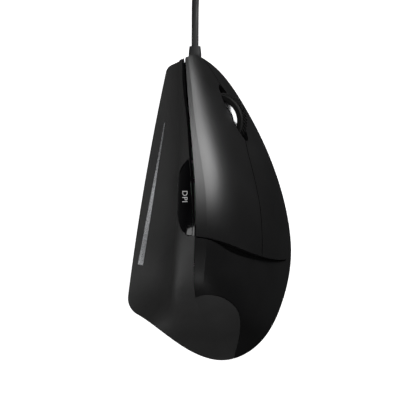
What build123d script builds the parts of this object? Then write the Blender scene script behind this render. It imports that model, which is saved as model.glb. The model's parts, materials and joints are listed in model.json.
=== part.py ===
from build123d import *

# A right-handed vertical mouse: a tall body with a crest, two finger keys with a scroll wheel on its
# sloping finger side, a resolution button on the crest, two thumb keys under it, and a lead with a plug.
#
# Millimetres. +Z is up, +Y is towards the nose where the lead leaves, +X is the finger side.
# The origin is on the desk, under the middle of the body's outline.

import math
import os

# ---------------------------------------------------------------- driving sizes
body_length = 120.0
body_width = 64.0
body_height = 74.0

shell_wall = 2.0  # moulded covers
key_wall = 1.8  # finger keys
seam = 0.16  # closed joint between two fixed covers
key_gap = 0.55  # slit round the finger keys
split_gap = 0.5  # slit between the two keys
button_gap = 0.25  # slit round a small button
inner_clearance = 0.6  # between the covers and the frame inside them

foot_thickness = 0.8
foot_recess = 0.2
base_thickness = 1.8
base_reveal = 1.0  # the base plate's edge stands in from the covers
base_lip = 1.2
lip_height = 1.6

wheel_radius = 11.0
wheel_width = 5.6
wheel_proud = 4.2  # how far the tyre stands out of the keys
tyre_thickness = 1.6
rim_thickness = 0.8
axle_radius = 1.2
running_clearance = 0.05
slot_reach = 12.5  # half the wheel slot's length
slot_width = 10.0

button_travel = 0.5
button_proud = 0.7
resolution_proud = 0.25
accent_depth = 0.6
board_thickness = 1.6
board_height = 6.4
cord_diameter = 2.8
screw_radius = 1.1
screw_depth = 5.5
trim_seam = 0.08  # round the strips let into the thumb cover
boss_radius = 3.0

# ---------------------------------------------------------------- sizes that follow
half_width = body_width / 2
half_length = body_length / 2
base_bottom = foot_thickness - foot_recess
base_top = base_bottom + base_thickness
far = 2 * body_length  # longer than anything it cuts

os.makedirs("parts", exist_ok=True)


def write(piece, name):
    """Labels a finished piece and writes it as its own STEP file."""
    piece.label = name
    export_step(piece, f"parts/{name}.step")


def at(x, y):
    """A point of the plan from its shares of the half width and the half length."""
    return (x * half_width, y * half_length)


# ---------------------------------------------------------------- the body's shape
def smooth(*knots):
    """A smooth function of y through a few pairs: a share of the half length, and a share of some size."""
    places = [knot[0] for knot in knots]
    values = [knot[1] for knot in knots]

    def slope(i):
        before, after = max(i - 1, 0), min(i + 1, len(knots) - 1)
        if before == i or after == i:
            return (values[after] - values[before]) / (places[after] - places[before])
        near, past = places[i] - places[before], places[after] - places[i]
        rise_near = (values[i] - values[before]) / near
        rise_past = (values[after] - values[i]) / past
        return (rise_near * past + rise_past * near) / (near + past)

    def value(y):
        share = y / half_length
        i = max([j for j in range(len(knots) - 1) if places[j] <= share], default=0)
        span = places[i + 1] - places[i]
        t = (share - places[i]) / span
        start, end = slope(i) * span, slope(i + 1) * span
        rise = (2 * t**3 - 3 * t**2 + 1) * values[i] + (3 * t**2 - 2 * t**3) * values[i + 1]
        return rise + (t**3 - 2 * t**2 + t) * start + (t**3 - t**2) * end

    return value


# Each runs from behind the rear to beyond the nose. Heights are shares of the height, and the rest are
# shares of the half width.
crest_height = smooth(
    (-1.14, 0.11), (-0.97, 0.30), (-0.80, 0.61), (-0.60, 0.865), (-0.23, 1.0), (0.23, 0.915), (0.67, 0.70),
    (0.9, 0.565), (1.14, 0.36),
)
crest_place = smooth(
    (-1.14, 0.19), (-0.83, 0.0), (-0.58, -0.175), (-0.2, -0.18), (0.05, -0.18), (0.34, -0.215),
    (0.67, -0.27), (1.14, -0.33),
)
land_share = smooth(
    (-1.14, 0.09), (-0.6, 0.095), (-0.42, 0.13), (-0.2, 0.14), (0.05, 0.135), (0.34, 0.095), (1.14, 0.035),
)
finger_reach = smooth(
    (-1.14, 0.66), (-0.94, 0.76), (-0.76, 0.9), (-0.5, 1.0), (-0.25, 1.035), (0.0, 0.985), (0.37, 0.76),
    (0.67, 0.475), (0.87, 0.23), (1.14, -0.04),
)
thumb_reach = smooth(
    (-1.14, -1.0), (-0.83, -1.1), (-0.57, -1.05), (-0.13, -0.91), (0.42, -0.68),
    (0.87, -0.535), (1.14, -0.48),
)
rounding = smooth((-1.14, 1.0), (-0.94, 1.0), (-0.74, 0.7), (-0.57, 0.14), (-0.43, 0.0), (1.14, 0.0))
key_fullness = smooth((-1.14, 2.1), (-0.83, 2.0), (-0.64, 1.75), (-0.34, 1.5), (0.34, 1.45), (1.14, 1.5))
palm_fullness = smooth(
    (-1.14, 2.1), (-0.83, 1.97), (-0.64, 1.66), (-0.42, 1.4), (-0.24, 1.35), (0.0, 1.42), (0.34, 1.45),
    (1.14, 1.5),
)

# The thumb side from under the crest down to past the flange, as shares of the reach and of the crest's
# height: a slightly undercut wall along the crest, and a dome round the rear.
THUMB_WALL = ((0.31, 0.905), (0.262, 0.74), (0.31, 0.52), (0.50, 0.27), (1.0, 0.115), (1.75, 0.06))
THUMB_DOME = ((0.30, 0.97), (0.52, 0.87), (0.72, 0.70), (0.87, 0.48), (1.0, 0.20), (1.1, 0.0))
FINGER_STEPS = 5
STATIONS = (-1.1, -1.0, -0.9, -0.78, -0.66, -0.53, -0.37, -0.13, 0.13, 0.42, 0.7, 0.93, 1.1)
hull_floor = -8.0
least_step = 0.6  # between two points of an inset section


def finger_curve(y, fullness):
    """The land's outer edge, how far the finger side reaches, and its fullness, at one station."""
    land = land_share(y) * half_width
    drop = land * (0.42 - 0.3 * rounding(y))
    edge = (crest_place(y) * half_width + land, crest_height(y) * body_height - drop)
    return edge, finger_reach(y) * half_width, fullness(y)


def finger_height(x, y):
    """How high the finger side is over a point of the plan."""
    (edge_x, edge_z), reach, power = finger_curve(y, key_fullness)
    share = min(max((x - edge_x) / (reach - edge_x), 0.0), 1.0)
    return edge_z * (1 - share**power) ** (1 / power)


def section_points(y, fullness):
    """The section from past the thumb flange, over the crest and the land, down the finger side."""
    crest = (crest_place(y) * half_width, crest_height(y) * body_height)
    width = crest[0] - thumb_reach(y) * half_width
    dome = rounding(y)
    thumb = []
    for (wall_x, wall_z), (dome_x, dome_z) in zip(THUMB_WALL, THUMB_DOME):
        across = wall_x * (1 - dome) + dome_x * dome
        up = wall_z * (1 - dome) + dome_z * dome
        thumb.append((crest[0] - width * across, crest[1] * up))
    edge, reach, power = finger_curve(y, fullness)
    finger = []
    for step in range(1, FINGER_STEPS + 1):
        angle = math.radians(90 * step / FINGER_STEPS)
        across = math.sin(angle) ** (2 / power)
        up = max(math.cos(angle), 0.0) ** (2 / power)
        finger.append((edge[0] + (reach - edge[0]) * across, edge[1] * up))
    return [*thumb[::-1], crest, edge, *finger]


def moved_in(points, inset, closed=False):
    """The same run of points, each moved to the right of the run, with the corners mitred."""
    out = []
    for i, (x, y) in enumerate(points):
        sides = []
        for a, b in ((i - 1, i), (i, (i + 1) % len(points))):
            if closed or (a >= 0 and b == a + 1):
                run = Vector(points[b][0] - points[a][0], points[b][1] - points[a][1]).normalized()
                sides.append(Vector(run.Y, -run.X))
        normal = (sides[0] + sides[-1]).normalized()
        reach = inset / max(normal.dot(sides[0]), 0.3)
        out.append((x + normal.X * reach, y + normal.Y * reach))
    return out


def ridge_kept(run):
    """Where the ridge is thinner than the inset, the land keeps a little width, and points past it go."""
    crest, edge = run[len(THUMB_WALL)], run[len(THUMB_WALL) + 1]
    edge = (max(edge[0], crest[0] + least_step), min(edge[1], crest[1] - least_step / 2.4))
    rest = run[len(THUMB_WALL) + 2 :]
    finger = [place for place in rest if place[0] > edge[0] + least_step and place[1] < edge[1] - least_step]
    return [*run[: len(THUMB_WALL) + 1], edge, *finger]


def hull(inset, fullness):
    """The raw body: sections across it, lofted from behind the rear to beyond the nose."""
    crest_index = len(THUMB_WALL)
    with BuildPart() as raw:
        for station in STATIONS:
            y = station * half_length
            run = ridge_kept(moved_in(section_points(y, fullness), inset))
            with BuildSketch(Plane.XZ.offset(-y)):
                with BuildLine():
                    Spline(*run[: crest_index + 1])
                    Line(run[crest_index], run[crest_index + 1])
                    Spline(*run[crest_index + 1 :])
                    Polyline(run[-1], (run[-1][0], hull_floor), (run[0][0], hull_floor), run[0])
                make_face()
        loft()
    return raw.part


# Once round the plan from the nose, by the finger side and the rear, to the heel and the flange's front.
OUTLINE = (
    (-0.19, 1.0), (0.07, 0.915), (0.39, 0.695), (0.71, 0.365), (0.94, -0.02), (0.998, -0.33),
    (0.872, -0.643), (0.553, -0.913), (0.16, -1.0), (-0.08, -0.977), (-0.42, -0.875), (-1.03, -0.67),
    (-0.79, 0.21), (-0.53, 0.925),
)
heel_radius = 7.0
shoulder_radius = 4.0


def outline(inset=0.0):
    """The body's outline in plan, moved in by the inset."""
    points = moved_in([at(*share) for share in OUTLINE], inset, closed=True)
    heel, middle, shoulder = points[-3:]
    with BuildSketch() as plan:
        with BuildLine():
            Spline(*points[:-2])
            ThreePointArc(heel, middle, shoulder)
            Line(shoulder, points[0])
        make_face()
        fillet(plan.vertices().sort_by_distance(heel)[0], radius=heel_radius)
        fillet(plan.vertices().sort_by_distance(shoulder)[0], radius=shoulder_radius)
    return plan.sketch


def body(inset=0.0, fullness=key_fullness, bottom=base_top):
    """The body cut to its outline, with its surface moved in by the inset."""
    with BuildPart() as solid:
        with BuildSketch(Plane.XY.offset(bottom)):
            add(outline(inset))
        extrude(amount=far)
        add(hull(inset, fullness), mode=Mode.INTERSECT)
    return solid.part


outer = body()
key_cavity = body(key_wall)
palm_outer = body(fullness=palm_fullness)
palm_cavity = body(shell_wall, palm_fullness)
cavity = body(shell_wall)
inside = body(shell_wall + inner_clearance, palm_fullness)  # what the pieces within stay inside of


# ---------------------------------------------------------------- how the surface is divided
def prism(sketch, direction=(0, 0, 1)):
    """A long solid with the sketch as its section."""
    with BuildPart() as tool:
        extrude(sketch, amount=far, dir=direction)
    return tool.part


def crest_line(start, end, count=9):
    """Points of the plan along the crest."""
    for i in range(count):
        y = (start + (end - start) * i / (count - 1)) * half_length
        yield (crest_place(y) * half_width, y)


crest_end = -0.58  # where the crest dies into the round rear
step_place = -0.18  # where the keys end at the crest
REAR_SEAM = ((0.12, -0.575), (0.34, -0.67), (0.37, -0.78), (0.3, -0.97), (0.25, -1.2))


def thumb_region(shift):
    """The space left of the crest and of the seam that runs on round the rear."""
    with BuildSketch() as region:
        with BuildLine():
            points = [(x + shift, y + shift) for x, y in crest_line(1.2, crest_end)]
            seam_line = [(x * half_width + shift, y * half_length + shift) for x, y in REAR_SEAM]
            Spline(*points)
            Spline(points[-1], *seam_line)
            Polyline(seam_line[-1], (-far, seam_line[-1][1]), (-far, points[0][1]), points[0])
        make_face()
    return prism(region.sketch)


STEP = ((0.02, -0.2), (0.23, -0.26), (0.5, -0.315), (0.74, -0.342), (0.885, -0.342))  # the keys' rear edge
key_corner_radius = 7.0
skirt_bend_radius = 130.0


def key_region(grow):
    """The keys' space, drawn from the side: ahead of the step, above the skirt, with a round rear corner."""
    points = []
    for x, y in STEP:
        place = at(x, y)
        points.append((place[1] - grow, finger_height(*place)))
    top = (step_place * half_length - grow, body_height * 1.05)
    low = (points[-1][0] + 0.4, 0.15 * body_height - grow)
    middle = (0.6 * half_length, 0.125 * body_height - grow)
    front = (1.2 * half_length, 0.30 * body_height - grow)
    with BuildSketch(Plane.YZ.offset(-body_width)) as region:
        with BuildLine():
            Spline(top, *points)
            above = 1.2 * body_height
            Polyline(points[-1], low, middle, front, (front[0], above), (top[0], above), top)
        make_face()
        fillet(region.vertices().sort_by_distance((-body_width, *low))[0], radius=key_corner_radius)
        fillet(region.vertices().sort_by_distance((-body_width, *middle))[0], radius=skirt_bend_radius)
    return prism(region.sketch, (1, 0, 0))


# The finger plane touches the keys at the middle of the wheel's slot. Its x runs forwards along the slot,
# its y up the slope to the crest, and its z out of the surface.
slot_place = at(0.292, 0.618)
slot_run = at(-0.3, 0.32)


def surface_point(x, y):
    """The point of the finger side over a point of the plan."""
    return Vector(x, y, finger_height(x, y))


slot_middle = surface_point(*slot_place)


def surface_run(x, y):
    """From one point of the surface to another, with a plan run centred on the slot."""
    ahead = surface_point(slot_place[0] + x / 2, slot_place[1] + y / 2)
    return ahead - surface_point(slot_place[0] - x / 2, slot_place[1] - y / 2)


finger_normal = surface_run(2, 0).cross(surface_run(0, 2)).normalized()
forwards = surface_run(*slot_run)
forwards = (forwards - finger_normal * forwards.dot(finger_normal)).normalized()
finger = Plane(slot_middle, x_dir=forwards, z_dir=finger_normal)


def in_finger(x, y):
    """A plan point of the finger side, in the finger plane's x and y."""
    local = finger.to_local_coords(surface_point(x, y))
    return (local.X, local.Y)


# The line that parts the two keys, from the nose over the wheel's slot.
SPLIT = (
    (-0.094, 0.975), (0.0125, 0.9), (0.147, 0.783), (0.42, 0.467), (0.456, 0.377),
    (0.516, 0.247), (0.603, 0.033),
)


def split_region(shift):
    """The space on the crest side of the line that parts the two keys."""
    line = [in_finger(*at(*share)) for share in SPLIT]
    last, before = Vector(*line[-1]), Vector(*line[-2])
    beyond = last + (last - before).normalized() * body_length / 2
    before, last = Vector(*line[1]), Vector(*line[0])
    ahead = last + (last - before).normalized() * body_length / 2
    points = [(p[0], p[1] + shift) for p in line]
    with BuildSketch(finger.offset(-far / 2)) as region:
        with BuildLine():
            Spline(*points)
            Polyline(
                points[-1], (beyond.X, beyond.Y + shift), (beyond.X, far), (ahead.X, far),
                (ahead.X, ahead.Y + shift), points[0],
            )
        make_face()
    return prism(region.sketch, finger_normal)



# ---------------------------------------------------------------- the trims and buttons along the crest
# The crest strip's thumb-side edge, from the nose to the step.
STRIP_EDGE = (
    (-0.33, 1.2), (-0.335, 0.95), (-0.335, 0.84), (-0.31, 0.7), (-0.28, 0.56),
    (-0.255, 0.37), (-0.222, 0.13),
    (-0.212, step_place),
)
button_front = 4  # the point of that edge by the resolution button's front
BUTTON_BOW = ((-0.29, -0.177), (-0.375, -0.1), (-0.397, 0.068), (-0.394, 0.18), (-0.34, 0.265))  # its edge
button_skirt = 0.875  # its lower edge, as a share of the crest's height


def strip_edge(shift):
    """Points of the plan down the crest strip's thumb-side edge."""
    for x, y in STRIP_EDGE:
        yield (x * half_width + shift, y * half_length)


def strip_region(shift):
    """The space right of the crest strip's thumb-side edge, ahead of the step."""
    points = list(strip_edge(shift))
    with BuildSketch() as region:
        with BuildLine():
            Spline(*points)
            Polyline(points[-1], (far, points[-1][1]), (far, points[0][1]), points[0])
        make_face()
    return prism(region.sketch)


def button_region(shrink):
    """The resolution button's space: a bow on the thumb side of the crest strip."""
    edge = [*strip_edge(-shrink)][button_front:]
    tip = (-0.258 * half_width - shrink, 0.315 * half_length - shrink)
    end = (edge[-1][0], edge[-1][1] + shrink)
    bow = [(*at(*share), move) for share, move in zip(BUTTON_BOW, (shrink, 0, 0, -shrink, -shrink))]
    with BuildSketch() as region:
        with BuildLine():
            Spline(tip, (-0.226 * half_width - shrink, 0.13 * half_length), end)
            Spline(end, *[(x + shrink, y + shift) for x, y, shift in bow], tip)
        make_face()
    with BuildSketch(Plane.YZ.offset(-body_width)) as side:
        with BuildLine():
            places = [y * half_length for y in (-0.3, -0.1, 0.1, 0.25, 0.4)]
            run = [(y, button_skirt * crest_height(y) * body_height + shrink) for y in places]
            Spline(*run)
            Polyline(run[-1], (run[-1][0], far), (run[0][0], far), run[0])
        make_face()
    return prism(region.sketch) & prism(side.sketch, (1, 0, 0))


thumb_key_top, thumb_key_bottom = 0.79, 0.665  # shares of the crest's height
thumb_key_corner = 3.2


def thumb_key_region(front, rear, shrink):
    """A thumb key's space, drawn from the side: two long edges that follow the crest."""
    places = [front * half_length - shrink, (front + rear) / 2 * half_length, rear * half_length + shrink]
    upper = [(y, crest_height(y) * body_height * thumb_key_top - shrink) for y in places]
    lower = [(y, crest_height(y) * body_height * thumb_key_bottom + shrink) for y in reversed(places)]
    with BuildSketch(Plane.YZ.offset(-body_width)) as region:
        with BuildLine():
            Spline(*upper)
            Line(upper[-1], lower[0])
            Spline(*lower)
            Line(lower[-1], upper[0])
        make_face()
        fillet(region.vertices(), radius=thumb_key_corner - shrink)
    with BuildPart() as tool:
        extrude(region.sketch, amount=body_width - 2, dir=(1, 0, 0))
    return tool.part


accent_front, accent_rear = 0.5, 2.2  # the accent strip's widths


def accent_region(shrink):
    """The accent strip's space on the flange: a long taper, square at its rear end."""
    front, rear = at(-0.556, 0.56), at(-0.856, -0.377)
    run = Vector(rear[0] - front[0], rear[1] - front[1]).normalized()
    across = Vector(-run.Y, run.X)
    corners = []
    for place, half, inwards in ((front, accent_front / 2, shrink), (rear, accent_rear / 2, -shrink)):
        for side in (1, -1):
            corner = Vector(*place) + run * inwards + across * (half - shrink) * side
            corners.append((corner.X, corner.Y))
    with BuildSketch() as region:
        Polygon(corners[0], corners[1], corners[3], corners[2], align=None)
    return prism(region.sketch)


# ---------------------------------------------------------------- covers
THUMB_KEYS = (("forward", 0.31, 0.015), ("back", -0.015, -0.31))  # name, front and rear ends
BOSSES = {"thumb": (at(-0.44, -0.42), at(-0.5, 0.35)), "palm": (at(0.5, -0.5), at(0.62, 0.3))}
side_board_thickness = 1.2
side_board_x = -3.2  # the thumb switches' board, its thumb-side face
SIDE_POSTS = ((-22.0, 44.0), (10.5, 38.5))
side_post_radius = 2.0
board_screw_radius = 0.9
board_screw_depth = 4.0
shelf_gap = 0.9  # between the keys and the palm cover's shelf under their edge
shelf_thickness = 1.3
shelf_width = 4.0

exit_place = at(-0.185, 1.0)
cord_height = 8.0
grommet_neck = 2.6
exit_plane = Plane(origin=(*exit_place, cord_height), x_dir=(1, 0, 0), z_dir=(0, 1, 0))


def bosses(places):
    """Screw posts under a cover, from the base plate up into its wall."""
    with BuildPart() as post:
        with BuildSketch(Plane.XY.offset(base_top)):
            with Locations(*places):
                Circle(boss_radius)
        extrude(amount=body_height)
        add(body(shell_wall / 2, palm_fullness), mode=Mode.INTERSECT)
    return post.part


def bores(plane, places, radius, depth):
    """Blind holes for screws."""
    with BuildPart() as holes:
        with BuildSketch(plane):
            with Locations(*places):
                Circle(radius)
        extrude(amount=depth)
    return holes.part


shelf_face = body(key_wall + shelf_gap)
with BuildPart() as shelf:
    add(shelf_face)
    add(shelf_face.moved(Location(-finger_normal * shelf_thickness)), mode=Mode.SUBTRACT)
    add(key_region(3 * key_gap), mode=Mode.INTERSECT)
    add(key_region(-shelf_width), mode=Mode.SUBTRACT)
    add(thumb_region(3 * shell_wall), mode=Mode.SUBTRACT)

with BuildPart() as palm_cover:
    add(palm_outer)
    add(palm_cavity, mode=Mode.SUBTRACT)
    add(bosses(BOSSES["palm"]))
    add(thumb_region(seam / 2), mode=Mode.SUBTRACT)
    add(key_region(key_gap), mode=Mode.SUBTRACT)
    add(shelf.part)
    add(bores(Plane.XY.offset(base_top), BOSSES["palm"], screw_radius, screw_depth), mode=Mode.SUBTRACT)
    with BuildSketch(exit_plane.offset(-shell_wall * 3)):
        Circle(grommet_neck)
    extrude(amount=shell_wall * 6, mode=Mode.SUBTRACT)
write(palm_cover.part, "palm_cover")

with BuildPart() as side_posts:
    with BuildSketch(Plane.YZ.offset(side_board_x)):
        with Locations(*SIDE_POSTS):
            Circle(side_post_radius)
    extrude(amount=-body_width)
    add(body(shell_wall / 2), mode=Mode.INTERSECT)

with BuildPart() as thumb_cover:
    add(outer)
    add(cavity, mode=Mode.SUBTRACT)
    add(bosses(BOSSES["thumb"]))
    add(side_posts.part)
    add(thumb_region(-seam / 2), mode=Mode.INTERSECT)
    add(strip_region(-trim_seam), mode=Mode.SUBTRACT)
    add(button_region(0), mode=Mode.SUBTRACT)
    for name, front, rear in THUMB_KEYS:
        add(thumb_key_region(front, rear, 0), mode=Mode.SUBTRACT)
    add(accent_region(0) - body(accent_depth + trim_seam), mode=Mode.SUBTRACT)
    add(bores(Plane.XY.offset(base_top), BOSSES["thumb"], screw_radius, screw_depth), mode=Mode.SUBTRACT)
    add(
        bores(Plane.YZ.offset(side_board_x), SIDE_POSTS, board_screw_radius, -board_screw_depth),
        mode=Mode.SUBTRACT,
    )
write(thumb_cover.part, "thumb_cover")

with BuildPart() as crest_strip:
    add(outer)
    add(cavity, mode=Mode.SUBTRACT)
    add(thumb_region(-key_gap / 2), mode=Mode.INTERSECT)
    add(strip_region(0), mode=Mode.INTERSECT)
write(crest_strip.part, "crest_strip")

with BuildPart() as accent_strip:
    add(body(-0.05))
    add(body(accent_depth), mode=Mode.SUBTRACT)
    add(accent_region(trim_seam), mode=Mode.INTERSECT)
write(accent_strip.part, "accent_strip")

# ---------------------------------------------------------------- keys
SWITCH_PLACES = {"left": (-6.0, 14.0), "right": (-6.0, -13.5)}  # under the keys, in the finger plane
frame_top = -13.0  # the key frame's face, in the finger plane
key_switch_height = 6.5
plunger_proud = 0.9
post_clearance = 0.05
post_start = frame_top + key_switch_height + plunger_proud + post_clearance

with BuildPart() as keys:
    add(outer)
    add(key_cavity, mode=Mode.SUBTRACT)
    add(thumb_region(key_gap / 2), mode=Mode.SUBTRACT)
    add(key_region(0), mode=Mode.INTERSECT)
    with BuildSketch(finger.offset(-far / 2)):
        Ellipse(slot_reach, slot_width / 2)
    extrude(amount=far, mode=Mode.SUBTRACT)


def key_post(name):
    """The post under a key that meets its switch."""
    with BuildPart() as post:
        with BuildSketch(finger.offset(post_start)):
            with Locations(SWITCH_PLACES[name]):
                RectangleRounded(5.0, 3.0, 1.0)
        extrude(amount=far)
        add(body(key_wall / 2), mode=Mode.INTERSECT)
    return post.part


with BuildPart() as left_key:
    add(keys.part)
    add(split_region(split_gap / 2), mode=Mode.INTERSECT)
    add(key_post("left"))
write(left_key.part, "left_key")

with BuildPart() as right_key:
    add(keys.part)
    add(split_region(-split_gap / 2), mode=Mode.SUBTRACT)
    add(key_post("right"))
write(right_key.part, "right_key")

# ---------------------------------------------------------------- small buttons
side_switch_height = 2.6
resolution_board_top = 58.6
resolution_switch_height = 3.4
resolution_switch_place = (-7.8, 2.0)
resolution_stem_radius, thumb_stem_radius = 1.2, 1.6


def small_button(space, proud, stem_plane, stem_radius):
    """A button cap that fills its opening, from a little proud of the cover, with a stem to its switch."""
    with BuildPart() as stem:
        with BuildSketch(stem_plane):
            Circle(stem_radius)
        extrude(amount=body_width)
        add(body(shell_wall / 2), mode=Mode.INTERSECT)
        add(space, mode=Mode.INTERSECT)
    with BuildPart() as cap:
        add(body(-proud))
        add(inside, mode=Mode.SUBTRACT)
        add(space, mode=Mode.INTERSECT)
        add(stem.part)
    return cap.part


stem_start = resolution_board_top + resolution_switch_height + plunger_proud + post_clearance
stem_plane = Plane.XY.offset(stem_start).move(Location((*resolution_switch_place, 0)))
cap = small_button(button_region(button_gap), resolution_proud, stem_plane, resolution_stem_radius)
write(cap, "resolution_button")

thumb_switch_places = {}
for name, front, rear in THUMB_KEYS:
    y = (front + rear) / 2 * half_length
    thumb_switch_places[name] = (y, crest_height(y) * body_height * 0.7275)
    stem_x = side_board_x - side_switch_height - plunger_proud - post_clearance
    stem_plane = Plane((stem_x, *thumb_switch_places[name]), x_dir=(0, 1, 0), z_dir=(-1, 0, 0))
    space = thumb_key_region(front, rear, button_gap)
    write(small_button(space, button_proud, stem_plane, thumb_stem_radius), f"{name}_button")


# ---------------------------------------------------------------- switches
plunger_length, plunger_width, plunger_sunk = 2.8, 1.4, 1.0
KEY_SWITCH, SMALL_SWITCH, NARROW_SWITCH, WHEEL_SWITCH = (12.8, 5.8), (6.0, 6.0), (6.0, 3.6), (6.0, 4.4)


def switch(name, place, length, width, height):
    """A switch on its board: a housing with a pocket in its top, and the plunger that moves in it."""
    with BuildPart() as housing:
        with BuildSketch(place):
            RectangleRounded(length, width, 0.4)
        extrude(amount=height)
        with BuildSketch(place.offset(height)):
            Rectangle(plunger_length + 0.2, plunger_width + 0.2)
        extrude(amount=-plunger_sunk - button_travel - 0.2, mode=Mode.SUBTRACT)
    write(housing.part, f"{name}_switch")
    with BuildPart() as plunger:
        with BuildSketch(place.offset(height - plunger_sunk)):
            RectangleRounded(plunger_length, plunger_width, 0.3)
        extrude(amount=plunger_sunk + plunger_proud)
    write(plunger.part, f"{name}_plunger")


def on_finger(u, v, w):
    """A plane parallel to the finger plane, at a place given in it."""
    return Plane(finger.from_local_coords((u, v, w)), x_dir=finger.x_dir, z_dir=finger.z_dir)


for name, (u, v) in SWITCH_PLACES.items():
    switch(name, on_finger(u, v, frame_top), *KEY_SWITCH, key_switch_height)
for name, place in thumb_switch_places.items():
    plane = Plane((side_board_x, *place), x_dir=(0, 1, 0), z_dir=(-1, 0, 0))
    switch(name, plane, *SMALL_SWITCH, side_switch_height)
plane = Plane((*resolution_switch_place, resolution_board_top), x_dir=(0, 1, 0), z_dir=(0, 0, 1))
switch("resolution", plane, *NARROW_SWITCH, resolution_switch_height)

# ---------------------------------------------------------------- wheel
wheel_depth = wheel_radius - wheel_proud  # the axle, under the finger plane
cradle_gap = 0.5
cradle_arm = 1.3
cradle_half = 2.6  # half the height of each cradle arm
arm_place = wheel_width / 2 + cradle_gap  # inner face of each cradle arm
arm_outer = arm_place + cradle_arm
axle_reach = arm_outer + 0.6
pivot_place = (-15.0, -9.0)  # the cradle's pivot, forwards and out of the finger plane
ear_gap = 0.4
ear_thickness = 1.6
wheel_side = Plane(finger.from_local_coords((0, 0, -wheel_depth)), x_dir=finger.x_dir, z_dir=-finger.y_dir)


def on_side(u, w):
    """A place of the finger plane's section through the wheel, in the wheel's own plane."""
    return (u, w + wheel_depth)


with BuildPart() as wheel_tyre:
    with BuildSketch(Plane(wheel_side.origin, x_dir=finger.x_dir, z_dir=finger.z_dir)):
        with Locations((wheel_radius - tyre_thickness / 2, 0)):
            RectangleRounded(tyre_thickness, wheel_width, 0.6)
    revolve(axis=Axis(wheel_side.origin, finger.y_dir))
write(wheel_tyre.part, "wheel_tyre")

with BuildPart() as wheel_hub:
    with BuildSketch(wheel_side.offset(-wheel_width / 2 + rim_thickness)):
        Circle(wheel_radius - tyre_thickness)
    extrude(amount=wheel_width - 2 * rim_thickness)
    with BuildSketch(wheel_side.offset(-axle_reach)):
        Circle(axle_radius)
    extrude(amount=2 * axle_reach)
write(wheel_hub.part, "wheel_hub")

for name, start in (("upper", -wheel_width / 2), ("lower", wheel_width / 2 - rim_thickness)):
    with BuildPart() as rim:
        with BuildSketch(wheel_side.offset(start)):
            Circle(wheel_radius - tyre_thickness)
            Circle(axle_radius, mode=Mode.SUBTRACT)
        extrude(amount=rim_thickness)
    write(rim.part, f"{name}_wheel_rim")

pivot_point = on_side(*pivot_place)
arm_length = math.hypot(*pivot_point)
arm_angle = math.degrees(math.atan2(pivot_point[1], pivot_point[0]))
tab_top = -8.4
tab_thickness = 1.2
tab_reach = 6.0
middle_switch_height = tab_top - tab_thickness - post_clearance - plunger_proud - frame_top
middle_place = (0.0, -arm_outer - tab_reach / 2 - 0.4)
with BuildPart() as wheel_cradle:
    for start in (arm_place, -arm_outer):
        with BuildSketch(wheel_side.offset(start)):
            with Locations((pivot_point[0] / 2, pivot_point[1] / 2)):
                SlotCenterToCenter(arm_length, 2 * cradle_half, rotation=arm_angle)
            Circle(axle_radius + running_clearance, mode=Mode.SUBTRACT)
        extrude(amount=cradle_arm)
    with BuildSketch(wheel_side.offset(-arm_outer)):
        with Locations(pivot_point):
            Circle(cradle_half - 0.4)
    extrude(amount=2 * arm_outer)
    pin_reach = arm_outer + ear_gap + ear_thickness - 0.2
    with BuildSketch(wheel_side.offset(-pin_reach)):
        with Locations(pivot_point):
            Circle(axle_radius)
    extrude(amount=2 * pin_reach)
    with BuildSketch(on_finger(0, 0, tab_top)):
        with Locations((0, -arm_outer - tab_reach / 2)):
            Rectangle(2 * cradle_half - 1.2, tab_reach)
    extrude(amount=-tab_thickness)
write(wheel_cradle.part, "wheel_cradle")
switch("middle", on_finger(*middle_place, frame_top), *WHEEL_SWITCH, middle_switch_height)

encoder_width = 3.8
with BuildPart() as scroll_encoder:
    with BuildSketch(wheel_side.offset(-arm_outer)):
        with Locations((0, -0.2)):
            RectangleRounded(8.0, 7.0, 0.5)
        Circle(axle_radius + running_clearance, mode=Mode.SUBTRACT)
    extrude(amount=-encoder_width)
write(scroll_encoder.part, "scroll_encoder")

# ---------------------------------------------------------------- frame and boards
frame_thickness = 1.8
switch_board_thickness = 1.0
board_top = board_height + board_thickness
frame_low = frame_top - switch_board_thickness - frame_thickness
FRAME_LEGS = ((-16.0, -12.0), (8.0, -12.0), (-16.0, 8.0))
leg_radius = 2.0
frame_middle = (-4.0, 0.5)
frame_size = (34.0, 34.0)
window = (23.0, 2 * arm_place + 1.4)


def leg_place(u, v):
    """The plan point where an upright leg from a place of the frame meets the board."""
    point = finger.from_local_coords((u, v, frame_low))
    return (point.X, point.Y)


leg_places = [leg_place(*leg) for leg in FRAME_LEGS]
with BuildPart() as legs:
    with BuildSketch(Plane.XY.offset(board_top)):
        with Locations(*leg_places):
            Circle(leg_radius)
    extrude(amount=body_height)
    with BuildSketch(on_finger(0, 0, frame_low + frame_thickness / 2)):
        Rectangle(far, far)
    extrude(amount=-far, mode=Mode.INTERSECT)

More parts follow.
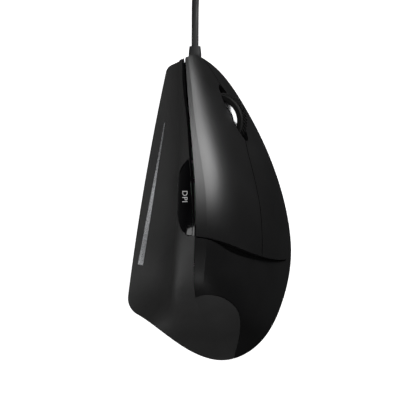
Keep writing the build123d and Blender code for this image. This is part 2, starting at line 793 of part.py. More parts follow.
ear_start = arm_outer + ear_gap
ear_low = on_side(pivot_place[0] - cradle_half, frame_low + 0.2)
ear_high = on_side(pivot_place[0] + cradle_half, pivot_place[1] + 2.4)
ear_middle = ((ear_low[0] + ear_high[0]) / 2, (ear_low[1] + ear_high[1]) / 2)
with BuildPart() as key_frame:
    with BuildSketch(on_finger(0, 0, frame_low)):
        with Locations(frame_middle):
            RectangleRounded(*frame_size, 3)
        RectangleRounded(*window, 2, mode=Mode.SUBTRACT)
    extrude(amount=frame_thickness)
    add(legs.part)
    add(inside, mode=Mode.INTERSECT)
    for side in (1, -1):
        with BuildSketch(wheel_side.offset(side * (ear_start + ear_thickness / 2) - ear_thickness / 2)):
            with Locations(ear_middle):
                Rectangle(ear_high[0] - ear_low[0], ear_high[1] - ear_low[1])
            with Locations(pivot_point):
                Circle(axle_radius + running_clearance, mode=Mode.SUBTRACT)
        extrude(amount=ear_thickness)
    with BuildSketch(Plane.XY.offset(board_top)):
        with Locations(*leg_places):
            Circle(board_screw_radius)
    extrude(amount=board_screw_depth, mode=Mode.SUBTRACT)
write(key_frame.part, "key_frame")

with BuildPart() as switch_board:
    with BuildSketch(on_finger(0, 0, frame_top)):
        with Locations(frame_middle):
            RectangleRounded(frame_size[0] - 3, frame_size[1] - 2, 2)
        RectangleRounded(window[0] + 1, window[1] + 1, 2, mode=Mode.SUBTRACT)
        with Locations((pivot_place[0], 0)):
            Rectangle(7, 2 * (arm_outer + ear_gap + ear_thickness) + 0.8, mode=Mode.SUBTRACT)
    extrude(amount=-switch_board_thickness)
    add(inside, mode=Mode.INTERSECT)
write(switch_board.part, "switch_board")

BOARD_POSTS = ((-8.0, -26.0), (8.5, -26.0), (-8.5, 18.0))
sensor_place = (2.0, 0.0)
sensor_hole = 8.0
with BuildPart() as main_board:
    with BuildSketch(Plane.XY.offset(board_height)):
        with Locations((1, 5)):
            RectangleRounded(23, 74, 2)
        add(outline(6), mode=Mode.INTERSECT)
        with Locations(sensor_place):
            Rectangle(sensor_hole, sensor_hole, mode=Mode.SUBTRACT)
        with Locations(*BOARD_POSTS, *leg_places):
            Circle(board_screw_radius + 0.1, mode=Mode.SUBTRACT)
    extrude(amount=board_thickness)
write(main_board.part, "main_board")

low, high = 35.0, resolution_board_top - side_board_thickness
SIDE_BOARD = (
    (-25, 40), (-25, 52), (-10, high), (8, high), (13, 53), (13, low), (6, low), (-5, 40), (-25, 40),
)
with BuildPart() as side_board:
    with BuildSketch(Plane.YZ.offset(side_board_x)):
        with BuildLine():
            Polyline(*SIDE_BOARD)
        make_face()
        with Locations(*SIDE_POSTS):
            Circle(board_screw_radius + 0.1, mode=Mode.SUBTRACT)
    extrude(amount=side_board_thickness)
write(side_board.part, "side_board")

with BuildPart() as resolution_board:
    with BuildSketch(Plane.XY.offset(resolution_board_top)):
        with Locations((-4.5, 4.25)):
            RectangleRounded(10.0, 10.5, 1)
    extrude(amount=-side_board_thickness)
    add(inside, mode=Mode.INTERSECT)
write(resolution_board.part, "resolution_board")

with BuildPart() as sensor_lens:
    for start, width, length, height in (
        (base_bottom + 0.5, 6.6, 5.6, base_thickness - 0.5),
        (base_top, 12.0, 10.0, 1.2),
        (base_top + 1.2, sensor_hole - 1, sensor_hole - 1, board_top - base_top - 1.2),
    ):
        with BuildSketch(Plane.XY.offset(start)):
            with Locations(sensor_place):
                RectangleRounded(width, length, 0.8)
        extrude(amount=height)
write(sensor_lens.part, "sensor_lens")


def board_block(name, x, y, width, length, height, corner=0.5):
    """A plain component standing on the main board."""
    with BuildPart() as block:
        with BuildSketch(Plane.XY.offset(board_top)):
            with Locations((x, y)):
                RectangleRounded(width, length, corner)
        extrude(amount=height)
    write(block.part, name)


lead_height = board_top + 3.0
connector_place = (-7.5, 32.0)
board_block("optical_sensor", *sensor_place, 10.0, 12.0, 3.4)
board_block("controller_chip", 1.0, -17.0, 8.0, 8.0, 1.0, 0.3)
board_block("lead_connector", *connector_place, 6.0, 6.0, 5.5)

# ---------------------------------------------------------------- base
FEET = {  # place, width and length
    "front_foot": ((-5.0, 47.0), 16.0, 8.0),
    "rear_foot": ((-3.0, -50.0), 22.0, 8.0),
    "side_foot": ((22.0, -14.0), 8.0, 24.0),
}
foot_corner = 3.8
screw_places = [*BOSSES["thumb"], *BOSSES["palm"]]
screw_head_radius = 2.2
screw_head_height = 1.0
with BuildPart() as base_plate:
    with BuildSketch(Plane.XY.offset(base_bottom)):
        add(outline(base_reveal))
        with Locations(sensor_place):
            RectangleRounded(7.0, 6.0, 0.8, mode=Mode.SUBTRACT)
    extrude(amount=base_thickness)
    with BuildSketch(Plane.XY.offset(base_top)):
        with Locations(*BOARD_POSTS):
            Circle(2.4)
    extrude(amount=board_height - base_top)
    with BuildSketch(Plane.XY.offset(base_bottom + 0.6)):
        with Locations(*BOARD_POSTS):
            Circle(board_screw_radius)
    extrude(amount=board_height, mode=Mode.SUBTRACT)
    with BuildSketch(Plane.XY.offset(base_bottom)):
        with Locations(*screw_places):
            Circle(screw_head_radius + 0.1)
    extrude(amount=screw_head_height, mode=Mode.SUBTRACT)
    with BuildSketch(Plane.XY.offset(base_bottom)):
        with Locations(*screw_places):
            Circle(screw_radius + 0.1)
    extrude(amount=base_thickness, mode=Mode.SUBTRACT)
    with BuildSketch(Plane.XY.offset(base_bottom)):
        for place, width, length in FEET.values():
            with Locations(place):
                RectangleRounded(width + 0.2, length + 0.2, foot_corner + 0.1)
    extrude(amount=foot_recess, mode=Mode.SUBTRACT)
write(base_plate.part, "base_plate")

for name, (place, width, length) in FEET.items():
    with BuildPart() as foot:
        with BuildSketch():
            with Locations(place):
                RectangleRounded(width, length, foot_corner)
        extrude(amount=foot_thickness)
    write(foot.part, name)


board_head_height = 1.0
tip_room = 0.5  # between a screw's end and its hole's


def screws(name, plane, places, head_radius, head_height, shank_radius, shank_length):
    """Identical screws in one node: each a round head with a cross recess and a plain shank."""
    with BuildPart() as group:
        with BuildSketch(plane):
            with Locations(*places):
                Circle(head_radius)
        extrude(amount=-head_height)
        with BuildSketch(plane):
            with Locations(*places):
                Rectangle(1.4 * head_radius, 0.3 * head_radius)
                Rectangle(0.3 * head_radius, 1.4 * head_radius)
        extrude(amount=-head_height / 2, mode=Mode.SUBTRACT)
        with BuildSketch(plane.offset(-head_height)):
            with Locations(*places):
                Circle(shank_radius)
        extrude(amount=-shank_length)
    write(group.part, name)


def board_screws(name, plane, places, shank_length):
    """Small screws that hold a board."""
    head = board_screw_radius + 0.8
    screws(name, plane, places, head, board_head_height, board_screw_radius, shank_length)


below = Plane((0, 0, base_bottom), x_dir=(1, 0, 0), z_dir=(0, 0, -1))
flipped = [(x, -y) for x, y in screw_places]
reach = base_thickness - screw_head_height + screw_depth - tip_room
screws("base_screws", below, flipped, screw_head_radius, screw_head_height, screw_radius, reach)
heads = Plane.XY.offset(board_top + board_head_height)
board_screws("board_screws", heads, BOARD_POSTS, board_thickness + 3.0)
below = Plane((0, 0, board_height - board_head_height), x_dir=(1, 0, 0), z_dir=(0, 0, -1))
flipped = [(x, -y) for x, y in leg_places]
board_screws("frame_screws", below, flipped, board_thickness + board_screw_depth - tip_room)
side_face_x = side_board_x + side_board_thickness + board_head_height
side_face = Plane((side_face_x, 0, 0), x_dir=(0, 1, 0), z_dir=(1, 0, 0))
board_screws("side_board_screws", side_face, SIDE_POSTS, side_board_thickness + board_screw_depth - tip_room)

# ---------------------------------------------------------------- lead
grommet_length = 3.0
grommet_flange = 3.6
flange_place = shell_wall + 3.2  # the wall is curved, so the flange inside it stands back
with BuildPart() as lead_grommet:
    with BuildSketch(exit_plane.offset(-flange_place)):
        Circle(grommet_flange)
    extrude(amount=1.0)
    with BuildSketch(exit_plane.offset(-flange_place)):
        Circle(grommet_neck - trim_seam)
    extrude(amount=flange_place + 0.6)
    with BuildSketch(exit_plane.offset(0.6)):
        Circle(grommet_neck - trim_seam)
    extrude(amount=grommet_length, taper=6)
    with BuildSketch(exit_plane.offset(-flange_place)):
        Circle(cord_diameter / 2)
    extrude(amount=body_length, mode=Mode.SUBTRACT)
write(lead_grommet.part, "lead_grommet")

lead_wall = connector_place[1] + 3.0
lead_start = exit_place[1] - flange_place
inner_lead_radius = cord_diameter / 2 - 0.2
with BuildPart() as inner_lead:
    with BuildLine() as run:
        FilletPolyline(
            (exit_place[0], lead_start, cord_height),
            (exit_place[0], lead_start - 5.0, cord_height),
            (connector_place[0], lead_wall + 5.0, lead_height),
            (connector_place[0], lead_wall, lead_height),
            radius=6,
        )
    with BuildSketch(Plane(run.line @ 0, z_dir=run.line % 0)):
        Circle(inner_lead_radius)
    sweep()
write(inner_lead.part, "inner_lead")

# The lead lies on the desk past the nose, and its spare length is a coil with the plug on it.
lead_end = exit_place[1]  # inside the grommet's bore
desk = cord_diameter / 2
tie_thickness = 0.6
ROUTE = (
    (exit_place[0], lead_end, cord_height), (-5.9, 71.0, 7.6), (-5.8, 82.0, 4.0), (-5.2, 93.0, desk + 0.1),
    (-4.4, 103.0, desk + tie_thickness), (-4.4, 112.0, desk + tie_thickness),
)
coil_radius = 16.8  # at the middle of its turns
coil_rows = 4
coil_width = coil_rows * cord_diameter
coil_centre = (ROUTE[-1][0] + coil_radius + coil_width / 2 - cord_diameter / 2, ROUTE[-1][1] + 9.0)


def corner_radii(route):
    """For each corner, the largest arc that its two runs allow."""
    points = [Vector(*place) for place in route]
    for before, corner, after in zip(points, points[1:], points[2:]):
        one, two = corner - before, after - corner
        yield 0.45 * min(one.length, two.length) / math.tan(math.radians(one.get_angle(two)) / 2)


radii = list(corner_radii(ROUTE))
print("lead radii", [round(radius, 1) for radius in radii])
with BuildPart() as lead:
    with BuildLine() as run:
        FilletPolyline(*ROUTE, radius=radii)
    with BuildSketch(Plane(run.line @ 0, z_dir=run.line % 0)):
        Circle(cord_diameter / 2)
    sweep()
section = math.pi * (cord_diameter / 2) ** 2
lead_length = sum(edge.length for edge in run.edges())
print("lead volume", round(lead.part.volume, 1), "by its section", round(section * lead_length, 1))
write(lead.part, "lead")
coil_length = coil_rows**2 * 2 * math.pi * coil_radius

with BuildPart() as lead_coil:
    with BuildSketch(Plane((*coil_centre, 0), x_dir=(1, 0, 0), z_dir=(0, -1, 0))):
        with Locations((coil_radius, tie_thickness + coil_width / 2)):
            RectangleRounded(coil_width, coil_width, 1.2)
    revolve(axis=Axis((*coil_centre, 0), (0, 0, 1)))
write(lead_coil.part, "lead_coil")

with BuildPart() as lead_tie:
    with BuildSketch(Plane((*coil_centre, 0), x_dir=(1, 0, 0), z_dir=(0, -1, 0)).offset(-2.5)):
        with Locations((coil_radius, tie_thickness + coil_width / 2)):
            RectangleRounded(coil_width + 2 * tie_thickness + 0.8, coil_width + 2 * tie_thickness, 1.6)
            RectangleRounded(coil_width + 0.8, coil_width, 1.2, mode=Mode.SUBTRACT)
    extrude(amount=5.0)
    add(lead_coil.part, mode=Mode.SUBTRACT)
write(lead_tie.part, "lead_tie")

# A plug of the common flat kind, lying on the coil.
plug_length, plug_width, plug_height = 22.0, 15.6, 8.0
shell_length, shell_width, shell_height, shell_sheet = 12.0, 12.0, 4.5, 0.4
plug_relief = 5.0
plug_base = (coil_centre[0] - 13.0, coil_centre[1] - 5.0, tie_thickness + coil_width + plug_height / 2)
plug_plane = Plane(plug_base, x_dir=(1, 0, 0), z_dir=(0, 1, 0))
with BuildPart() as plug_body:
    with BuildSketch(plug_plane):
        RectangleRounded(plug_width, plug_height, 2.4)
    extrude(amount=plug_length)
    with BuildSketch(plug_plane.offset(-plug_relief)):
        Circle(cord_diameter / 2 + 0.6)
    extrude(amount=plug_relief)
    with BuildSketch(plug_plane.offset(-plug_relief)):
        Circle(cord_diameter / 2)
    extrude(amount=plug_relief + 1.0, mode=Mode.SUBTRACT)
write(plug_body.part, "plug_body")

# The lead's last stretch climbs out of the coil's top turn and into the plug.
TAIL_STEPS = (
    (5.6, -17.2, -5.4), (-1.5, -18.6, -3.8), (-8.6, -16.8, -1.6), (-12.7, -10.9, -0.2), (-13.0, -4.0, 0.0),
)
TAIL = [(coil_centre[0] + x, coil_centre[1] + y, plug_base[2] + z) for x, y, z in TAIL_STEPS]
tail_radii = list(corner_radii(TAIL))
print("tail radii", [round(radius, 1) for radius in tail_radii])
with BuildPart() as lead_tail:
    with BuildLine() as run:
        FilletPolyline(*TAIL, radius=tail_radii)
    with BuildSketch(Plane(run.line @ 0, z_dir=run.line % 0)):
        Circle(cord_diameter / 2)
    sweep()
tail_length = sum(edge.length for edge in run.edges())
print("tail volume", round(lead_tail.part.volume, 1), "by its section", round(section * tail_length, 1))
print("whole lead", round(lead_length + coil_length + tail_length))
write(lead_tail.part, "lead_tail")

with BuildPart() as plug_shell:
    with BuildSketch(plug_plane.offset(plug_length)):
        Rectangle(shell_width, shell_height)
        Rectangle(shell_width - 2 * shell_sheet, shell_height - 2 * shell_sheet, mode=Mode.SUBTRACT)
    extrude(amount=shell_length)
    with BuildSketch(Plane(plug_base).offset(-plug_height)):
        with Locations((2.4, plug_length + 6.0), (-2.4, plug_length + 6.0)):
            Rectangle(2.0, 2.4)
    extrude(amount=2 * plug_height, mode=Mode.SUBTRACT)
write(plug_shell.part, "plug_shell")

with BuildPart() as plug_tongue:
    with BuildSketch(plug_plane.offset(plug_length)):
        with Locations((0, -0.9)):
            Rectangle(shell_width - 2 * shell_sheet, 1.9)
    extrude(amount=shell_length - 0.8)
write(plug_tongue.part, "plug_tongue")
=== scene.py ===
import json
import math

import bmesh
import bpy
from mathutils import Matrix, Vector
from mathutils.bvhtree import BVHTree


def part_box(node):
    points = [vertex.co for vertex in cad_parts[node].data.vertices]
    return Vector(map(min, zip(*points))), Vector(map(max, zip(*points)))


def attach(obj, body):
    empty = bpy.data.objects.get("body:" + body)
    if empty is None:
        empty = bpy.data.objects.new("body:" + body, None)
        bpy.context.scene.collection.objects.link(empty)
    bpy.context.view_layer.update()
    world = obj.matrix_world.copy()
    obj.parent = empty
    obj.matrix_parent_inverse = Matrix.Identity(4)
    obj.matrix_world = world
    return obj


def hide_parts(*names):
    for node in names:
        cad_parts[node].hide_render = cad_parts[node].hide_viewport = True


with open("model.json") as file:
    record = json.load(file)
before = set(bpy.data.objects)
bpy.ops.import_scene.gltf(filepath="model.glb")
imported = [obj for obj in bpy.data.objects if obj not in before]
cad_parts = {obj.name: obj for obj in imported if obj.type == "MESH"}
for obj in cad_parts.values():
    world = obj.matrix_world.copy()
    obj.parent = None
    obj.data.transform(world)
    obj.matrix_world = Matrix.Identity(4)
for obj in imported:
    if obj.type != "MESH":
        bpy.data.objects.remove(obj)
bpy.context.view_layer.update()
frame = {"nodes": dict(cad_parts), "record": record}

# ---------------------------------------------------------------- camera and studio
# The mouse is looked at from straight above, from far off, so that its sides hardly show. A soft box on the
# finger side draws the highlight down the first key, and weaker ones light the thumb side, rear and crest.
VIEW_WIDTH = 0.1638
CAMERA_HEIGHT = 3.0
SENSOR = 0.036
mouse_middle = Vector((-0.0008, -0.0002, 0.0))

camera_data = bpy.data.cameras.new("camera")
camera_data.sensor_width = SENSOR * 1000
camera_data.lens = SENSOR * 1000 * (CAMERA_HEIGHT - 0.01) / VIEW_WIDTH
camera_data.clip_end = 20.0
camera = bpy.data.objects.new("camera", camera_data)
camera.location = mouse_middle + Vector((0, 0, CAMERA_HEIGHT))
bpy.context.collection.objects.link(camera)
bpy.context.scene.camera = camera
bpy.context.scene.view_settings.view_transform = "Standard"


def soft_box(name, towards, distance, size, watts):
    """A square lamp that looks at the mouse from the given direction."""
    lamp = bpy.data.lights.new(name, "AREA")
    lamp.shape = "RECTANGLE"
    lamp.size, lamp.size_y = size
    lamp.energy = watts
    holder = bpy.data.objects.new(name, lamp)
    holder.location = Vector(towards).normalized() * distance
    holder.rotation_euler = Vector(towards).to_track_quat("Z", "Y").to_euler()
    bpy.context.collection.objects.link(holder)


soft_box("finger_side_box", (0.71, 0.67, 0.20), 0.9, (0.40, 0.40), 8.0)
soft_box("thumb_fill_box", (-0.85, -0.30, 0.16), 1.2, (0.9, 0.3), 3.5)
soft_box("rear_box", (0.30, -0.70, 0.65), 1.2, (0.7, 0.4), 3.2)
soft_box("thumb_side_box", (-0.67, -0.06, 0.73), 1.1, (0.5, 0.8), 2.6)
soft_box("top_box", (0.12, 0.25, 1.0), 1.6, (1.2, 1.2), 6.0)

world = bpy.data.worlds.new("studio")
bpy.context.scene.world = world
world.use_nodes = True
backdrop = world.node_tree.nodes["Background"]
sky_place = world.node_tree.nodes.new("ShaderNodeTexCoord")
sky_height = world.node_tree.nodes.new("ShaderNodeSeparateXYZ")
sky_glow = world.node_tree.nodes.new("ShaderNodeMapRange")
for socket, value in {"From Min": -0.15, "From Max": 0.25, "To Min": 0.42, "To Max": 0.035}.items():
    sky_glow.inputs[socket].default_value = value
world.node_tree.links.new(sky_place.outputs["Generated"], sky_height.inputs["Vector"])
world.node_tree.links.new(sky_height.outputs["Z"], sky_glow.inputs["Value"])
world.node_tree.links.new(sky_glow.outputs["Result"], backdrop.inputs["Strength"])


def object_from(shape, name, material=None):
    """A finished bmesh as an object at the origin."""
    mesh = bpy.data.meshes.new(name)
    shape.to_mesh(mesh)
    shape.free()
    piece = bpy.data.objects.new(name, mesh)
    bpy.context.collection.objects.link(piece)
    if material:
        mesh.materials.append(material)
    return piece


floor_shape = bmesh.new()
bmesh.ops.create_grid(floor_shape, x_segments=1, y_segments=1, size=3.0)
floor = object_from(floor_shape, "desk")
floor_material = bpy.data.materials.new("white_desk")
floor_material.use_nodes = True
floor_surface = floor_material.node_tree.nodes["Principled BSDF"]
floor_surface.inputs["Base Color"].default_value = (0.93, 0.93, 0.93, 1)
floor_surface.inputs["Roughness"].default_value = 0.9
floor_surface.inputs["Emission Color"].default_value = (1, 1, 1, 1)
floor_surface.inputs["Emission Strength"].default_value = 0.9
floor.visible_glossy = False
floor.visible_diffuse = False
floor.data.materials.append(floor_material)


# ---------------------------------------------------------------- finishes
# Every surface is a Principled shader. A Value is a number on that surface, and its sums and products are
# Math nodes.
class Value:
    """A number that changes over a surface."""

    def __init__(self, finish, socket):
        self.finish = finish
        self.socket = socket

    def maths(self, operation, *terms):
        return self.finish.node("ShaderNodeMath", {"operation": operation}, dict(enumerate(terms)))

    def __add__(self, other):
        return self.maths("ADD", self, other)

    def __mul__(self, other):
        return self.maths("MULTIPLY", self, other)

    __radd__ = __add__
    __rmul__ = __mul__


class Finish:
    """One material of the mouse, and the nodes that vary it."""

    MIX_A, MIX_B, MIX_RESULT = 6, 7, 2  # a Mix node's colour sockets, which share their names with others

    def __init__(self, name, colour, roughness, **constants):
        self.material = bpy.data.materials.new(name)
        self.material.use_nodes = True
        self.tree = self.material.node_tree
        self.surface = self.tree.nodes["Principled BSDF"]
        self.colour = (*colour, 1)
        self.surface.inputs["Base Color"].default_value = self.colour
        self.surface.inputs["Roughness"].default_value = roughness
        for socket, value in constants.items():
            self.surface.inputs[socket.replace("_", " ")].default_value = value
        self.place = self.node("ShaderNodeTexCoord", {}, {}, "Object")

    def node(self, kind, settings, sockets, output=0):
        """A node of a kind, its settings first, then the values or links of its sockets."""
        made = self.tree.nodes.new(kind)
        for setting, value in settings.items():
            setattr(made, setting, value)
        for socket, value in sockets.items():
            if isinstance(value, Value):
                self.tree.links.new(value.socket, made.inputs[socket])
            else:
                made.inputs[socket].default_value = value
        return Value(self, made.outputs[output])

    def noise(self, size, detail=2.0, place=None):
        """Noise with lumps of about a size, in metres."""
        sockets = {"Vector": place or self.place, "Scale": 1 / size, "Detail": detail}
        return self.node("ShaderNodeTexNoise", {}, sockets, "Fac")

    def link(self, socket, value):
        self.tree.links.new(value.socket, self.surface.inputs[socket])

    def roughness(self, value):
        self.link("Roughness", value)

    def relief(self, height, depth, strength=1.0):
        """A bump of a depth in metres, from a height of 0 to 1."""
        sockets = {"Height": height, "Distance": depth, "Strength": strength}
        bump = self.node("ShaderNodeBump", {}, sockets, "Normal")
        self.link("Normal", bump)

    def tint(self, amount, light=1.35, dark=0.7):
        """The base colour runs from a darker to a lighter one as amount goes from 0 to 1."""
        low, high = [(*(min(part * share, 1) for part in self.colour[:3]), 1) for share in (dark, light)]
        ends = {"Factor": amount, self.MIX_A: low, self.MIX_B: high}
        mix = self.node("ShaderNodeMix", {"data_type": "RGBA"}, ends, self.MIX_RESULT)
        self.link("Base Color", mix)


def moulded(name, colour, roughness, grain, depth, **constants):
    """Moulded plastic: a fine grain from the tool, and skin marks from the hand that change its gloss."""
    finish = Finish(name, colour, roughness, **constants)
    fine = finish.noise(grain, 3.0)
    marks = finish.noise(0.018, 3.0)
    finish.tint(marks)
    finish.roughness(marks * 0.10 + fine * 0.06 + (roughness - 0.08))
    finish.relief(fine, depth, 0.6)
    return finish


def coat(finish, *names):
    """Gives CAD pieces a finish."""
    for name in names:
        piece = frame["nodes"][name]
        piece.data.materials.clear()
        piece.data.materials.append(finish.material)


# ---------------------------------------------------------------- lead
# A thin round cable with a soft jacket. It leaves the nose through a grommet and runs over the desk. Its spare
# length is wound in a neat tied coil with the plug on top.
MM = 0.001
CORD = 2.8 * MM
RUN = (  # from the grommet to the coil
    (-5.92, 60.0, 8.0), (-5.9, 71.0, 7.6), (-5.8, 82.0, 4.0), (-5.2, 93.0, 1.5), (-4.4, 103.0, 2.0),
    (-4.4, 112.0, 2.0),
)
# The tail, from the coil to the plug: sideways from the coil's middle, and the height.
TAIL_STEPS = ((-1.5, -20.4, 13.4), (-8.9, -17.6, 15.0), (-12.7, -10.9, 15.7), (-13.0, -4.0, 15.8))
POINTS_PER_TURN = 16
ROWS = 4  # and as many turns in each
STEP_OVER = 3  # points over which a turn moves on to its next place
LAST_TURN = 0.74  # how much of the top turn is wound before the tail leaves it
LIFT_FROM = 0.6  # and where on that turn it starts to rise
LIFT = 6.0 * MM

ring_low, ring_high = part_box("lead_coil")
ring_middle = (Vector(ring_low) + Vector(ring_high)) / 2
ring_outside = (ring_high[0] - ring_low[0]) / 2 - CORD / 2
run_points = [Vector(point) * MM for point in RUN]


def turn_places():
    """The radius and height of each turn, row by row from the desk up, outwards and inwards in turn."""
    for row in range(ROWS):
        columns = range(ROWS) if row % 2 == 0 else reversed(range(ROWS))
        for column in columns:
            yield ring_outside - column * CORD, ring_low[2] + CORD / 2 + row * CORD


turns = []
start_angle = math.pi  # the run reaches the coil on its near side
places = list(turn_places())
for number, (radius, height) in enumerate(places):
    next_radius, next_height = places[min(number + 1, len(places) - 1)]
    last_turn = number == len(places) - 1
    for step in range(POINTS_PER_TURN):
        if last_turn and step > POINTS_PER_TURN * LAST_TURN:
            break
        share = max(0.0, (step - POINTS_PER_TURN + STEP_OVER) / STEP_OVER)
        around = start_angle - 2 * math.pi * step / POINTS_PER_TURN
        reach = radius + (next_radius - radius) * share
        level = height + (next_height - height) * share
        lift = 0.0 if not last_turn else max(0.0, step / POINTS_PER_TURN - LIFT_FROM) * LIFT
        sideways = Vector((math.cos(around), math.sin(around), 0)) * reach
        turns.append(Vector((ring_middle.x, ring_middle.y, level + lift)) + sideways)
tail = [Vector((ring_middle.x + x * MM, ring_middle.y + y * MM, z * MM)) for x, y, z in TAIL_STEPS]
line_points = run_points + turns + tail

lead_curve = bpy.data.curves.new("lead", "CURVE")
lead_curve.dimensions = "3D"
lead_curve.bevel_depth = CORD / 2
lead_curve.bevel_resolution = 5
lead_curve.resolution_u = 6
lead_curve.use_fill_caps = True
spline = lead_curve.splines.new("NURBS")
spline.points.add(len(line_points) - 1)
for point, place in zip(spline.points, line_points):
    point.co = (*place, 1)
spline.order_u = 3
spline.use_endpoint_u = True
lead = bpy.data.objects.new("lead_cable", lead_curve)
bpy.context.collection.objects.link(lead)

jacket = moulded("cable_jacket", (0.018, 0.018, 0.019), 0.55, 0.0005, 0.00006)
lead_curve.materials.append(jacket.material)
coat(jacket, "lead_tie", "inner_lead", "lead_grommet", "plug_body")
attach(lead, "body")
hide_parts("lead", "lead_coil", "lead_tail")

# ---------------------------------------------------------------- covers and keys
# Moulded shells. The finger keys and the palm side have a soft satin coat, and the thumb side is plain matte
# plastic with the tool's fine grain.
satin = moulded("satin_coat", (0.006, 0.006, 0.0062), 0.37, 0.00022, 0.000012, Specular_IOR_Level=0.4)
matte = moulded("grained_plastic", (0.030, 0.030, 0.030), 0.55, 0.00035, 0.00004, Specular_IOR_Level=0.4)
coat(satin, "left_key", "right_key", "palm_cover")
coat(matte, "thumb_cover", "base_plate")

# ---------------------------------------------------------------- trims and small buttons
# High-gloss black strips and buttons, and one bright strip let into the thumb side.
gloss = Finish("gloss_black", (0.003, 0.003, 0.0035), 0.09, Coat_Weight=0.6, Coat_Roughness=0.03)
smear = gloss.noise(0.012, 4.0)
gloss.roughness(smear * 0.10 + 0.05)
gloss.tint(smear)
gloss.relief(gloss.noise(0.004, 2.0), 0.00003, 0.3)
coat(gloss, "crest_strip", "resolution_button", "forward_button", "back_button")

silver = Finish("brushed_silver", (0.62, 0.63, 0.65), 0.30, Metallic=0.9)
along_strip = {"Vector": silver.place, "Scale": (1.0, 0.03, 1.0)}
brushed_place = silver.node("ShaderNodeMapping", {}, along_strip, "Vector")
brushing = silver.noise(0.00007, 4.0, brushed_place)
silver.roughness(brushing * 0.25 + 0.16)
silver.tint(brushing, 1.06, 0.94)
silver.relief(brushing, 0.000004, 0.3)
coat(silver, "accent_strip")

# The resolution button carries a printed label of three letters, read with the nose to the left.
LABEL_HEIGHT = 2.1 * MM
LABEL_INSET = 2.7 * MM  # from the button's thumb-side edge to the middle of the letters
INK = 0.03 * MM
ABOVE = 0.2  # any height over the mouse, from which the letters are laid on the button
label_curve = bpy.data.curves.new("label", "FONT")
label_curve.body = "DPI"
label_curve.size = LABEL_HEIGHT * 1.4
label_curve.space_character = 1.1
label_curve.align_x = "CENTER"
label_curve.align_y = "CENTER"
label_text = bpy.data.objects.new("label_text", label_curve)
bpy.context.collection.objects.link(label_text)
label_mesh = bpy.data.meshes.new_from_object(label_text.evaluated_get(bpy.context.evaluated_depsgraph_get()))
bpy.data.objects.remove(label_text)
label_shape = bmesh.new()
label_shape.from_mesh(label_mesh)
button_low, button_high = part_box("resolution_button")
label_middle = (button_low[1] + button_high[1]) / 2 + 0.2 * MM
label_place = Vector((button_low[0] + LABEL_INSET, label_middle, 0))
turned = Matrix.Translation(label_place) @ Matrix.Rotation(math.radians(-90), 4, "Z")
bmesh.ops.transform(label_shape, matrix=turned, verts=label_shape.verts)
bmesh.ops.triangulate(label_shape, faces=label_shape.faces)
bmesh.ops.subdivide_edges(label_shape, edges=label_shape.edges, cuts=1)
button_skin = bmesh.new()
button_skin.from_mesh(frame["nodes"]["resolution_button"].data)
button_tree = BVHTree.FromBMesh(button_skin)
for vertex in label_shape.verts:
    hit = button_tree.ray_cast(Vector((vertex.co.x, vertex.co.y, ABOVE)), Vector((0, 0, -1)))
    vertex.co = hit[0] + hit[1] * INK if hit[0] else vertex.co
button_skin.free()
ink = Finish("white_print", (0.78, 0.78, 0.78), 0.5)
ink.tint(ink.noise(0.0005), 1.05, 0.9)
label = object_from(label_shape, "resolution_label", ink.material)
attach(label, "resolution_button")

# ---------------------------------------------------------------- wheel
# A ribbed rubber tyre on a hub, with a bright plated rim on each side. It turns on its axle, so its shapes are
# made round their own axis and then set in place by the wheel's joint.
joints = {joint["name"]: joint for joint in frame["record"]["behaviour"]["joints"]}
axle = Vector(joints["wheel_spin"]["axis"]).normalized()
inwards = Vector(joints["left_plunger_slide"]["axis"]).normalized()
outwards = -inwards
forwards = axle.cross(outwards).normalized()
in_place = Matrix((outwards, forwards, axle)).transposed().to_4x4()
in_place.translation = Vector(joints["wheel_spin"]["pos_m"])

WHEEL_RADIUS = 11.0 * MM
TYRE_WIDTH = 5.6 * MM
TYRE_WALL = 2.6 * MM
RIM_RADIUS = WHEEL_RADIUS - TYRE_WALL
RIB_COUNT = 56
RIB_HEIGHT = 0.4 * MM
RIB_LEAN = math.radians(7)  # how far a rib turns from one side of the tread to the other


def turned_ring(profile, steps):
    """A ring spun from a closed profile of (radius, height) points about the wheel's axis."""
    shape = bmesh.new()
    corners = [shape.verts.new((radius, 0, height)) for radius, height in profile]
    edges = [shape.edges.new(pair) for pair in zip(corners, corners[1:] + corners[:1])]
    bmesh.ops.spin(
        shape, geom=corners + edges, cent=(0, 0, 0), axis=(0, 0, 1), dvec=(0, 0, 0), angle=2 * math.pi,
        steps=steps, use_merge=True, use_duplicate=False,
    )
    bmesh.ops.remove_doubles(shape, verts=shape.verts, dist=1e-7)
    bmesh.ops.recalc_face_normals(shape, faces=shape.faces)
    return shape


tread = WHEEL_RADIUS - RIB_HEIGHT
side_edge = TYRE_WIDTH / 2
SHOULDER = 0.6 * MM
SHOULDER_DROP = 0.5 * MM
RIB_TAPER = 0.08 * MM
tyre_profile = [
    (RIM_RADIUS, -side_edge), (tread - SHOULDER_DROP, -side_edge), (tread, -side_edge + SHOULDER),
    (tread, side_edge - SHOULDER), (tread - SHOULDER_DROP, side_edge), (RIM_RADIUS, side_edge),
]
tyre_shape = turned_ring(tyre_profile, RIB_COUNT * 2)
for vertex in tyre_shape.verts:
    vertex.co.rotate(Matrix.Rotation(RIB_LEAN * vertex.co.z / side_edge, 3, "Z"))
tread_faces = [
    face for face in tyre_shape.faces if math.hypot(*face.calc_center_median().xy) > tread - 0.1 * MM
]
tread_faces.sort(key=lambda face: math.atan2(*face.calc_center_median().xy))
ribs = tread_faces[::2]
bmesh.ops.inset_individual(tyre_shape, faces=ribs, thickness=RIB_TAPER, depth=RIB_HEIGHT)
bmesh.ops.transform(tyre_shape, matrix=in_place, verts=tyre_shape.verts)
rubber = moulded("tyre_rubber", (0.008, 0.008, 0.008), 0.66, 0.00018, 0.00003, Specular_IOR_Level=0.2)
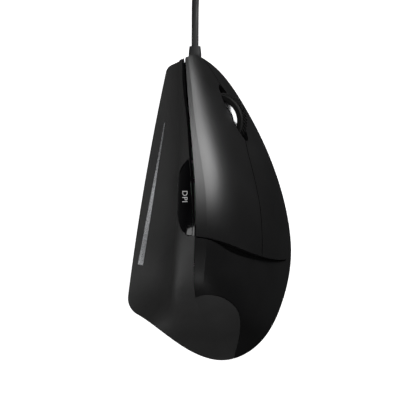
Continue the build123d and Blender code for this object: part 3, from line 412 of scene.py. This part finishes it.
tyre = object_from(tyre_shape, "ribbed_tyre", rubber.material)
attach(tyre, "wheel")
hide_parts("wheel_tyre")

chrome = Finish("plated_rim", (0.86, 0.87, 0.88), 0.14, Metallic=1.0)
wear = chrome.noise(0.003, 4.0)
chrome.roughness(wear * 0.12 + 0.08)
chrome.tint(wear, 1.08, 0.94)
AXLE_HOLE = 1.3 * MM
rim_profile = [  # a thin disc with a raised rounded ridge near its edge
    (AXLE_HOLE, 2.0 * MM), (RIM_RADIUS, 2.0 * MM), (RIM_RADIUS, 2.1 * MM), (RIM_RADIUS - 0.3 * MM, 2.2 * MM),
    (7.0 * MM, 2.75 * MM), (6.4 * MM, 2.8 * MM), (5.9 * MM, 2.6 * MM), (5.6 * MM, 2.25 * MM),
    (AXLE_HOLE, 2.25 * MM),
]
for side, node in ((1, "upper_wheel_rim"), (-1, "lower_wheel_rim")):
    rim_shape = turned_ring([(radius, height * side) for radius, height in rim_profile], 96)
    bmesh.ops.transform(rim_shape, matrix=in_place, verts=rim_shape.verts)
    rim = object_from(rim_shape, f"plated_{node}", chrome.material)
    for face in rim.data.polygons:
        face.use_smooth = True
    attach(rim, "wheel")
    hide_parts(node)

# ---------------------------------------------------------------- inside
# The frame, switches and boards that the covers hide.
inner = moulded("inner_plastic", (0.06, 0.06, 0.063), 0.5, 0.0003, 0.00002)
coat(inner, "wheel_hub", "wheel_cradle", "key_frame", "lead_connector", "scroll_encoder")
for switch in ("left", "right", "middle", "forward", "back", "resolution"):
    coat(inner, f"{switch}_switch", f"{switch}_plunger")

board = Finish("board_lacquer", (0.012, 0.11, 0.045), 0.32, Coat_Weight=0.4)
tracks = board.noise(0.0016, 1.0)
board.tint(tracks, 1.5, 0.8)
board.relief(tracks, 0.00003, 0.4)
coat(board, "main_board", "side_board", "switch_board", "resolution_board")

chip = moulded("chip_resin", (0.015, 0.015, 0.016), 0.55, 0.0002, 0.00001)
coat(chip, "controller_chip", "optical_sensor")

# ---------------------------------------------------------------- underside and fastenings
# Low-friction feet, the sensor's clear lens, and plated steel screws and plug shell.
glide = moulded("glide_film", (0.035, 0.035, 0.036), 0.34, 0.0006, 0.00001)
coat(glide, "front_foot", "rear_foot", "side_foot")

lens = Finish("clear_lens", (0.9, 0.92, 0.95), 0.06, Transmission_Weight=0.9, IOR=1.49)
lens.roughness(lens.noise(0.002) * 0.06 + 0.03)
coat(lens, "sensor_lens")

steel = Finish("plated_steel", (0.55, 0.55, 0.56), 0.28, Metallic=1.0)
rub = steel.noise(0.0008, 4.0)
steel.roughness(rub * 0.2 + 0.18)
steel.tint(rub, 1.12, 0.88)
coat(steel, "base_screws", "board_screws", "frame_screws", "side_board_screws", "plug_shell")

tongue = moulded("plug_tongue_plastic", (0.72, 0.72, 0.70), 0.45, 0.0004, 0.00001)
coat(tongue, "plug_tongue")
